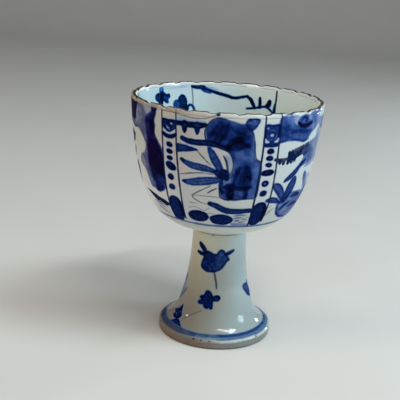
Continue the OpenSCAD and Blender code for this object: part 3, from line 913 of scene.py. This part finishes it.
# noise per metre, its detail and its roughness
grains = {
    "cloud": (45, 2), "speck": (1500, 1), "wobble": (520, 3), "heap": (900, 4, 0.65), "pool": (260, 3, 0.6),
    "violet": (70, 2), "ripple": (140, 2), "fineRipple": (850, 2), "gloss": (300, 2), "ragged": (240, 3),
    "lipDrift": (160, 3), "lipBuff": (1100, 3, 0.6), "lipWearAndGlints": (190, 2), "lipRollGlints": (75, 2),
    "footPatches": (170, 3), "stain": (60, 4, 0.6), "runs": (90, 3), "clay": (2600, 2),
}
# levels of a noise where its patches start and where they are full
patchSpans = {
    "speck": (0.80, 0.86), "heap": (0.25, 0.65), "violet": (0.45, 0.65), "gloss": (0.35, 0.75), "stain": (0.35, 0.7),
    "lipBuff": (0.35, 0.7), "lipWearAndGlints": (0.36, 0.5), "lipRollGlints": (0.5, 0.6),
}


def grain(board, name):
    return board.noise(*grains[name])


def swing(board, name):  # the same about zero
    return grain(board, name) - 0.5


def patches(board, name):
    return grain(board, name).ease(*patchSpans[name])


def vary(share, least, more):  # the least of a value, and how much more where the share is full
    return least + more * share


# iron dressing: a buff band on the left, narrowing to a thin line on the right
lipLook = {
    "buff": (colour(152, 143, 127), colour(118, 106, 91)),
    "iron": colour(44, 30, 22),
    # the glaze over the inner lip: its first tint is the glaze, its paler second tint painted highlight
    "rollAndGlint": (colour(188, 195, 192), colour(220, 224, 222)),
    # mm over the lip, from the foot of its outside face
    "bandFrom": 0.4, "bandEdge": (-0.5, 0.4), "crestAt": 2.55, "crestEdge": (0.95, 0.6), "rollFrom": (3.2, 3.6),
    "laterOnRight": 1.3,  # how much later the band starts on the right
    "bandShare": (0.92, -0.25), "crestShare": (0.3, 0.65),
    # mm to the right of the axis or behind it, where the right side starts and where the iron is kept
    "rightFrom": (-20, -6), "keptRight": (-6, 10), "keptFront": (-22, -32), "frontSlant": 0.6,
    # mm that these edges stray
    "rightStray": 24, "keptStray": 20, "crestStray": 0.4, "rollStray": 0.6,
}


def dressLip(board, tone, across, deep, want=lipLook):
    way = board.stored("lipWay")
    drift = swing(board, "lipDrift")
    right = (across + drift * want["rightStray"]).ease(*want["rightFrom"])
    buff = board.blendColour(patches(board, "lipBuff"), *want["buff"])
    band = (way - want["bandFrom"] - want["laterOnRight"] * right + drift).ease(*want["bandEdge"])
    tone = board.blendColour(band * vary(right, *want["bandShare"]), tone, buff)
    kept = patches(board, "lipWearAndGlints")  # where the iron line shows; its gaps at the back left are partly wear and partly painted highlight
    kept = kept.call("MAXIMUM", (across + drift * want["keptStray"]).ease(*want["keptRight"]))
    kept = kept.call("MAXIMUM", (deep + across * want["frontSlant"]).ease(*want["keptFront"]))
    crest = (way - want["crestAt"] + drift * want["crestStray"]).call("ABSOLUTE").ease(*want["crestEdge"])
    tone = board.blendColour(crest * vary(kept, *want["crestShare"]), tone, want["iron"])
    # the inner lip, with patches of painted highlight
    rollAndGlint = board.blendColour(patches(board, "lipRollGlints"), *want["rollAndGlint"])
    return board.blendColour((way + drift * want["rollStray"]).ease(*want["rollFrom"]), tone, rollAndGlint)


# edge of the foot, in mm: heights where thin glaze starts on the stem and on the clay, and where it clears to the right
footLook = {
    "stemFrom": (4.1, 3.8), "stemStray": 0.7, "clayFrom": (2.75, 3.25), "clayStray": 1.2,
    # dull is painted shade on the left of the edge, clear a paler tint painted as lit on the right
    "dull": colour(94, 90, 86), "clear": colour(160, 170, 168), "clearFrom": (-12, 14), "clearStray": 20,
}


def footEdge(board, across, want=footLook):  # glaze that thinned out over the edge of the foot, painted darker on the left as shade and paler on the right as lit
    clear = (across + swing(board, "footPatches") * want["clearStray"]).ease(*want["clearFrom"])
    return board.blendColour(clear, want["dull"], want["clear"])


# cobalt on both sides of the bowl's front half is greyer, the left side with a violet cast: where that starts and is
# full, in mm
flankSpans = {"left": (21, 32), "right": (29, 36), "front": (14, -4), "belowLip": (97, 93)}
# where a mark's colour starts and where it is full, in mm from its edge
edgeSpans = {"ink": (0.4, -0.34), "rim": (-0.85, -0.3), "halo": (1.1, -0.1), "wash": (0.5, -0.5),
             "bare": (0.2, -0.25), "line": (0.22, -0.14), "grit": (0.15, -0.1)}
# levels of the pool noise between which pigment gathers, and what share of it a layer has at least and gains
poolSpans = {"rim": (0.32, 0.5), "wash": (0.3, 0.7), "line": (0.3, 0.6)}
layerShares = {"ink": (0.76, 0.34), "wash": (0.76, 0.38), "line": (0.94, 0.14)}
# how dense the cobalt is where it starts to show, to be violet and to dull the glaze, and where it fully does
denseSpans = {"shown": (0.0, 0.18), "violet": (0.7, 1.0), "dull": (0.15, 0.75)}
strengths = {"speck": 0.5, "rim": 0.24, "halo": 0.08, "violet": 0.7, "dull": 0.9, "ripple": 0.6, "fineRipple": 0.05}
strays = {"tintUp": 4, "tintAcross": 6, "ink": 0.6, "wash": 1.4, "line": 0.5}  # mm; wash and line as shares of ink
glazeRough = (0.07, 0.08)
glazeBump = (0.35, 0.25)  # strength and mm


def makeGlaze(name, paintedLight, pigment, flanks=None, foot=False, lip=False, shine=0.14):
    material, board = newMaterial(name)
    across, deep, height = (board.axis(letter) for letter in "XYZ")
    cloud = swing(board, "cloud")
    level = height + cloud * strays["tintUp"]
    drift = (across + cloud * strays["tintAcross"]) / (2 * paintedLight["reach"]) + 0.5
    # painted light and shade: the colour runs from the shaded side to the lit side and from top to bottom
    high, low = (board.ramp(paintedLight[key], drift) for key in ("high", "low"))
    tone = board.blendColour(level.ease(paintedLight["top"], paintedLight["bottom"]), high, low)
    # painted bounce light: paler low on the piece, as lit from below
    if "under" in paintedLight:
        start, full, tint = paintedLight["under"]
        tone = board.blendColour(level.ease(start, full), tone, tint)
    tone = board.blendColour(patches(board, "speck") * strengths["speck"], tone, kilnSpeck)

    wobble = swing(board, "wobble") * strays["ink"]
    pools = grain(board, "pool")
    pool = {key: pools.ease(*span) for key, span in poolSpans.items()}
    inkGap = board.stored("inkEdge")
    inkEdge = inkGap + wobble
    # pigment gathers at the edge of a stroke
    rim = inkEdge.ease(*edgeSpans["rim"]) * pool["rim"] * strengths["rim"]
    ink = board.stored("inkDepth") * vary(patches(board, "heap"), *layerShares["ink"]) + rim
    ink = inkEdge.ease(*edgeSpans["ink"]) * ink
    halo = inkGap.ease(*edgeSpans["halo"]) * strengths["halo"]

    def laid(layer):  # a layer that gathers in pools
        edge = (board.stored(layer + "Edge") + wobble * strays[layer]).ease(*edgeSpans[layer])
        gathered = vary(pool[layer], *layerShares[layer])
        return (edge * board.stored(layer + "Depth") * gathered).call("MINIMUM", 1.0)

    wash, line = laid("wash"), laid("line")
    bare = (board.stored("bareEdge") + wobble).ease(*edgeSpans["bare"]) * board.stored("bareDepth")
    density = (1 - (1 - wash) * (1 - ink.call("MINIMUM", 1.0)) * (1 - halo)) * (1 - bare)
    blue = board.ramp(pigment, density)
    if flanks:
        front = deep.ease(*flankSpans["front"])
        left = (0 - across).ease(*flankSpans["left"]) * front
        right = across.ease(*flankSpans["right"]) * front * height.ease(*flankSpans["belowLip"])
        for side, stops in zip((left, right), flanks):
            blue = board.blendColour(side, blue, board.ramp(stops, density))
        violet = left * density.ease(*denseSpans["violet"]) * patches(board, "violet")
        blue = board.blendColour(violet * strengths["violet"], blue, violetInk)
    tone = board.blendColour(density.ease(*denseSpans["shown"]), tone, blue)
    tone = board.blendColour(line, tone, lineInk)

    if lip:
        tone = dressLip(board, tone, across, deep)
    if foot:
        # the edge of the foot, painted darker on its left as shade and paler on its right as lit
        edge = (height + swing(board, "ragged") * footLook["stemStray"]).ease(*footLook["stemFrom"])
        tone = board.blendColour(edge, tone, footEdge(board, across))
    ripple, fine = (grain(board, key) * strengths[key] for key in ("ripple", "fineRipple"))
    rough = vary(patches(board, "gloss"), *glazeRough)
    look = {"Base Color": tone, "Roughness": rough, "Normal": board.bump(ripple + fine, *glazeBump)}
    clear, deepBlue = (board.add("ShaderNodeBsdfPrincipled", {}, {**look, "Specular IOR Level": gloss})
                       for gloss in (shine, 0.0))
    # heaped cobalt takes the shine
    dull = density.call("MAXIMUM", line).ease(*denseSpans["dull"]) * strengths["dull"]
    closeMaterial(board, board.add("ShaderNodeMixShader", {}, {0: dull, 1: clear, 2: deepBlue}))
    return material


clayLook = {
    "rough": (0.62, 0.25), "runsGloss": 0.86, "edgeGloss": 0.7,
    "pit": colour(92, 74, 58), "pitSpan": (0.62, 0.78), "pitShare": 0.45, "bump": (0.5, 0.08),
    "runsFrom": (-14, 16), "runsStray": 30,                                # mm to the right of the axis
    # painted contact shadow along the edge that rests on the table
    "contactShadow": colour(40, 32, 26), "contactShadowFrom": (0.8, 0.2), "contactShadowShare": 0.7,  # mm above the table
    "grit": colour(30, 24, 22), "gritStray": 0.4,
}


def makeBareClay(name, light, dark, runs=None, want=clayLook):
    material, board = newMaterial(name)
    stain = patches(board, "stain")
    tone = board.blendColour(stain, light, dark)
    rough = vary(stain, *want["rough"])
    if runs:  # thin glaze that ran over the edge of the foot on one side, its colour also painted paler and cooler there as lit
        across, height = board.axis("X"), board.axis("Z")
        reach = (across + swing(board, "runs") * want["runsStray"]).ease(*want["runsFrom"])
        tone = board.blendColour(reach, tone, runs)
        rough = rough * (1 - want["runsGloss"] * reach)
    pits = grain(board, "clay")
    tone = board.blendColour(pits.ease(*want["pitSpan"]) * want["pitShare"], tone, want["pit"])
    if runs:
        # the edge of the foot, painted darker on its left as shade and paler on its right as lit
        edge = (height + swing(board, "ragged") * footLook["clayStray"]).ease(*footLook["clayFrom"])
        tone = board.blendColour(edge, tone, footEdge(board, across))
        rough = rough * (1 - want["edgeGloss"] * edge)
        # painted contact shadow at the foot's bottom edge
        tone = board.blendColour(height.ease(*want["contactShadowFrom"]) * want["contactShadowShare"], tone, want["contactShadow"])
        grit = (board.stored("lineEdge") + (pits - 0.5) * want["gritStray"]).ease(*edgeSpans["grit"])
        tone = board.blendColour(grit * board.stored("lineDepth"), tone, want["grit"])
    look = {"Base Color": tone, "Roughness": rough, "Normal": board.bump(pits, *want["bump"])}
    closeMaterial(board, board.add("ShaderNodeBsdfPrincipled", {}, look))
    return material


flankCobalt = (leftCobalt, rightCobalt)
outsideGlaze = makeGlaze("paintedGlaze", bowlShadeTints, cobalt, flankCobalt, lip=True)
dressing = makeGlaze("ironDressing", bowlShadeTints, cobalt, flankCobalt, lip=True, shine=0.3)
insideGlaze = makeGlaze("innerGlaze", insideReflectionTints, innerCobalt)
stemGlazeFinish = makeGlaze("stemGlazeFinish", stemShadeTints, greyCobalt, foot=True, shine=0.26)
footClay = makeBareClay("footClay", colour(104, 88, 75), colour(82, 66, 55), runs=colour(110, 116, 111))
innerClay = makeBareClay("innerClay", colour(206, 199, 184), colour(188, 178, 160))
print("finishes made")


# Pieces
def joined(*lines):  # one closed section from several runs of points
    loop = np.vstack(lines)
    return np.vstack([loop, loop[:1]])


def climbing(line):  # only the points of a face that keep climbing
    line = line if line[-1, 1] > line[0, 1] else line[::-1]
    kept = [line[0]]
    for spot in line[1:]:
        if spot[1] > kept[-1][1] + hair:
            kept.append(spot)
    return np.array(kept)


def toEnds(line, low, high):  # carried straight on to the exact heights
    return np.vstack([[line[0, 0], low], line, [line[-1, 0], high]])


def settleNode(piece, node):
    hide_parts(node)
    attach(piece, "root")
    print(f"{piece.name} stands for {node}, {len(piece.data.polygons)} faces")


def turnCoat(name, node, want, material, outside):  # a glaze of the bowl, with finer rows where it is painted
    tree, rays = solidTree(node), hubRays(node)
    shown, hidden = (climbing(section(tree, rays, inside)) for inside in (not outside, outside))
    line = rowsBetween(shown, [(shown[0, 1], want["paintedFrom"], want["plainRows"]),
                               (want["paintedFrom"], shown[-1, 1], want["paintedRows"])])
    piece = turnPiece(name, joined(line, evenly(hidden, want["hiddenRows"])[::-1]), want["around"], material)
    return piece, line


def jitter(seed, reach):  # a small turn in degrees and half as much lift in mm, so that no two repeats are alike
    return np.random.default_rng(seed).uniform(-reach, reach, 2) * (1, 0.5)


ringRuns = ((-180, -56), (-56, 64), (64, 180))  # degrees
ringStep = 4
ringSwings = {"slow": 3, "quick": 7, "quickShare": 0.6}  # times round the cup


def paintRing(canvas, layer, height, width, depth, sway=0.12):  # a line all round, in three runs
    for start, end in ringRuns:
        run = np.arange(start, end + ringStep, ringStep)
        turn = np.radians(run)
        slow, quick = np.sin(ringSwings["slow"] * turn + height), np.sin(ringSwings["quick"] * turn)
        wave = sway * (slow + ringSwings["quickShare"] * quick)
        canvas.stroke(layer, np.column_stack([run, height + wave]), np.full(len(run), width), depth)


# strips and panels, as the bowl's outside and its lip both show them
panelPlan = {
    "strips": 6, "firstStrip": -33.4, "frontStrips": 2, "stripSeed": 20, "stripSway": 0.5,
    "movedPanel": 1, "panelSeed": 40, "panelSway": 0.8,
    "moreBushes": (116, 236),
}


def paintPanels(canvas, want):
    for k in range(want["strips"]):
        turn, lift = (0, 0) if k < want["frontStrips"] else jitter(want["stripSeed"] + k, want["stripSway"])
        knot = flatKnot if k % 2 else slantedKnot
        paint(canvas, tasselStrip + stripDots + knot, want["firstStrip"] + k * 360 / want["strips"] + turn, lift)
    far = cloudBand + rockShade + tallRock + pineTip
    views = [cloudBand + cloudCurl + bushLeaves + bushRock + pineBranch, far, far]
    for k, view in enumerate(views):
        turn, lift = jitter(want["panelSeed"] + k, want["panelSway"]) if k == want["movedPanel"] else (0, 0)
        paint(canvas, rockAndLeaves + view, k * 360 / len(views) + turn, lift)
    for shift in want["moreBushes"]:
        paint(canvas, bushFoot + bushLeaves, shift)


# rows in mm; a ring is its layer, height, width and depth, and how far it sways
outsideCoat = {"around": 720, "plainRows": 1.2, "paintedRows": 0.45, "paintedFrom": 53.0, "hiddenRows": 8,
               "rings": [("wash", 54.4, 1.2, 0.42), ("line", 54.0, 0.4, 0.6)]}


def makeOutsideGlaze(want):
    piece, line = turnCoat("bowlGlazeOutside", "bowl_outer_glaze", want, outsideGlaze, True)
    canvas = Canvas(piece, line)
    for ring in want["rings"]:
        paintRing(canvas, *ring)
    paintPanels(canvas, panelPlan)
    canvas.keep()
    keepValues(piece.data, "lipWay", readPoints(piece.data)[:, 2] / mm - line[-1, 1])
    settleNode(piece, "bowl_outer_glaze")


insideCoat = {"around": 720, "plainRows": 1.5, "paintedRows": 0.35, "paintedFrom": 80.0, "hiddenRows": 8,
              "branches": (0, 120, 240), "flowers": (0, 120, 208), "seed": 60, "sway": 0.8}


def makeInsideGlaze(want):
    piece, line = turnCoat("bowlGlazeInside", "bowl_inner_glaze", want, insideGlaze, False)
    canvas = Canvas(piece, line)
    for k, (branch, flowers) in enumerate(zip(want["branches"], want["flowers"])):
        turn, lift = jitter(want["seed"] + k, want["sway"]) if k else (0, 0)
        paint(canvas, innerBranch, branch + turn, lift)
        paint(canvas, innerFlowers, flowers + turn, lift)
    canvas.keep()
    settleNode(piece, "bowl_inner_glaze")


weakestWave = 0.3  # of the strongest


def waves(generator, around, counts, fall, most):  # uneven swings round the lip, none past a most
    total = sum(generator.uniform(weakestWave, 1) * np.sin(n * around + generator.uniform(0, math.tau)) / n ** fall
                for n in counts)
    return total * (most / np.abs(total).max())


lipCoat = {
    "around": 1440, "faceRows": 24, "hiddenRows": 10,
    "middle": 0.58,       # of the dressing's height, in from its top and its outside to the middle of the round lip
    "sweep": (-36, 216),  # degrees round that middle
    "rays": 400, "rayReach": 6.0, "rayDrop": 5,
    "wayFrom": -37,       # degrees where the way over the lip starts
    "rough": 0.12, "roughCounts": range(5, 120, 5), "roughFall": 0.5,
    "outward": 0.1, "outwardCounts": range(9, 60, 5),
    "seed": 7,
    "upright": (40, 110),  # heights that its canvas spans
}


def makeRimDressing(want):
    tree = solidTree("rim_dressing")
    low, high = (corner * (1 / mm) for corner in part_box("rim_dressing"))
    bottom, top, outermost = low.z, high.z, high.x
    inset = (top - bottom) * want["middle"]
    hub = np.array([outermost - inset, top - inset])
    turns = np.radians(np.linspace(*want["sweep"], want["rays"]))
    rays = [(hub, hub + want["rayReach"] * np.array([math.cos(t), math.sin(t)])) for t in turns]
    face, cover = (section(tree, rays, inside) for inside in (False, True))
    face, cover = (line[line[:, 1] >= bottom] for line in (face, cover))
    profile = joined(evenly(face, want["faceRows"]), evenly(cover, want["hiddenRows"])[::-1])
    piece = turnPiece("rimDressing", profile, want["around"], dressing)

    points = readPoints(piece.data) / mm
    turn = np.arctan2(points[:, 0], -points[:, 1])
    radius = np.hypot(points[:, 0], points[:, 1])
    slope = np.arctan2(points[:, 2] - hub[1], radius - hub[0])
    slope = np.where(slope < -math.pi / 2, slope + math.tau, slope)
    way = (slope - math.radians(want["wayFrom"])) * (outermost - hub[0])

    # crest of each lobe as the solid has it, made a little uneven
    around = np.linspace(-math.pi, math.pi, want["around"] + 1)
    crest = []
    for t in around:
        spot = Vector((hub[0] * math.sin(t), -hub[0] * math.cos(t), top + want["rayDrop"])) * mm
        crest.append(tree.ray_cast(spot, Vector((0, 0, -1)))[0].z / mm)
    generator = np.random.default_rng(want["seed"])
    crest = np.array(crest) - want["rough"]
    crest += waves(generator, around, want["roughCounts"], want["roughFall"], want["rough"])
    sway = waves(generator, around, want["outwardCounts"], 0, want["outward"])
    share = (points[:, 2] - bottom) / (top - bottom)
    newHeight = bottom + share * (np.interp(turn, around, crest) - bottom)
    newRadius = radius + share * (np.interp(turn, around, sway) - want["outward"])
    points = np.column_stack([newRadius * np.sin(turn), -newRadius * np.cos(turn), newHeight]) * mm
    piece.data.vertices.foreach_set("co", points.ravel())
    piece.data.update()
    keepValues(piece.data, "lipWay", way)
    canvas = Canvas(piece, np.array([(outermost, height) for height in want["upright"]]))
    paintPanels(canvas, panelPlan)
    canvas.keep()
    settleNode(piece, "rim_dressing")


stemCoat = {"around": 400, "rows": 0.42, "hiddenRows": 24, "inset": 0.01, "sprays": (0, 180),
            "rings": [("wash", 4.45, 2.9, 0.32, 0.06), ("ink", 5.02, 1.1, 0.28, 0.06),
                      ("line", 5.2, 0.5, 0.22, 0.06)]}


def makeStemGlaze(want):
    heights = readPoints(nodes["stem_glaze"].data)[:, 2] / mm
    low, high = heights.min(), heights.max()
    tree, rays = solidTree("stem_glaze"), levelRays(low + want["inset"], high - want["inset"])
    outer, inner = (section(tree, rays, inside) for inside in (False, True))
    line = rowsBetween(toEnds(outer, low, high), [(low, high, want["rows"])])
    inner = np.vstack([inner, [inner[-1, 0], high]])
    piece = turnPiece("stemGlaze", joined(line, evenly(inner, want["hiddenRows"])[::-1]), want["around"],
                      stemGlazeFinish)
    canvas = Canvas(piece, line)
    for ring in want["rings"]:
        paintRing(canvas, *ring)
    for shift in want["sprays"]:
        paint(canvas, stemSprays, shift)
    paint(canvas, stemEdges)
    canvas.keep()
    settleNode(piece, "stem_glaze")


stemBisque = {
    "around": 300, "outerRows": 90, "hollowRows": 120, "rays": 900, "inset": 0.004,
    "ringPitch": 2.3, "ringDepth": 0.12, "ringsFrom": 6, "ringsBelowTop": 1, "ringsFade": 3,
    # black kiln grit caught at the edge of the glaze: turn and height where it shows, and more on the far side
    "grit": [(-20, 3.5), (-12, 3.45), (-4, 3.5), (48, 3.5), (65, 3.45), (-74, 3.4), (20, 3.3)],
    "moreGrit": 12, "moreTurns": (75, 285), "moreHeights": (3, 3.6),
    "gritSize": (0.6, 1.1), "gritWide": 2.4, "gritTall": 0.7, "gritDepth": 0.95, "seed": 3,
}


def makeStemClay(want):
    low, high = (corner * (1 / mm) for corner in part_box("stem_body"))
    tree, rays = solidTree("stem_body"), levelRays(want["inset"], high.z - want["inset"], want["rays"])
    outer, hollow = (toEnds(section(tree, rays, inside), low.z, high.z) for inside in (False, True))
    inner = evenly(hollow, want["hollowRows"])
    fade = want["ringsFade"]
    ringed = np.clip((inner[:, 1] - want["ringsFrom"]) / fade, 0, 1)
    ringed *= np.clip((high.z - want["ringsBelowTop"] - inner[:, 1]) / fade, 0, 1)
    inner[:, 0] += want["ringDepth"] * ringed * np.sin(math.tau * inner[:, 1] / want["ringPitch"])
    outer = evenly(outer, want["outerRows"])
    piece = turnPiece("stemClay", joined(outer, inner[::-1]), want["around"], footClay)
    canvas = Canvas(piece, outer)
    generator = np.random.default_rng(want["seed"])
    grit = want["grit"] + [(generator.uniform(*want["moreTurns"]), generator.uniform(*want["moreHeights"]))
                           for _ in range(want["moreGrit"])]
    for turn, height in grit:
        size = generator.uniform(*want["gritSize"])
        size = size * want["gritWide"], size * want["gritTall"]
        paint(canvas, [dot("line", want["gritDepth"], size, (turn, height))])
    canvas.keep()
    settleNode(piece, "stem_body")


makeOutsideGlaze(outsideCoat)
makeInsideGlaze(insideCoat)
makeRimDressing(lipCoat)
makeStemGlaze(stemCoat)
makeStemClay(stemBisque)

for name in ("bowl_body", "luting_slip"):
    nodes[name].data.materials.clear()
    nodes[name].data.materials.append(innerClay)
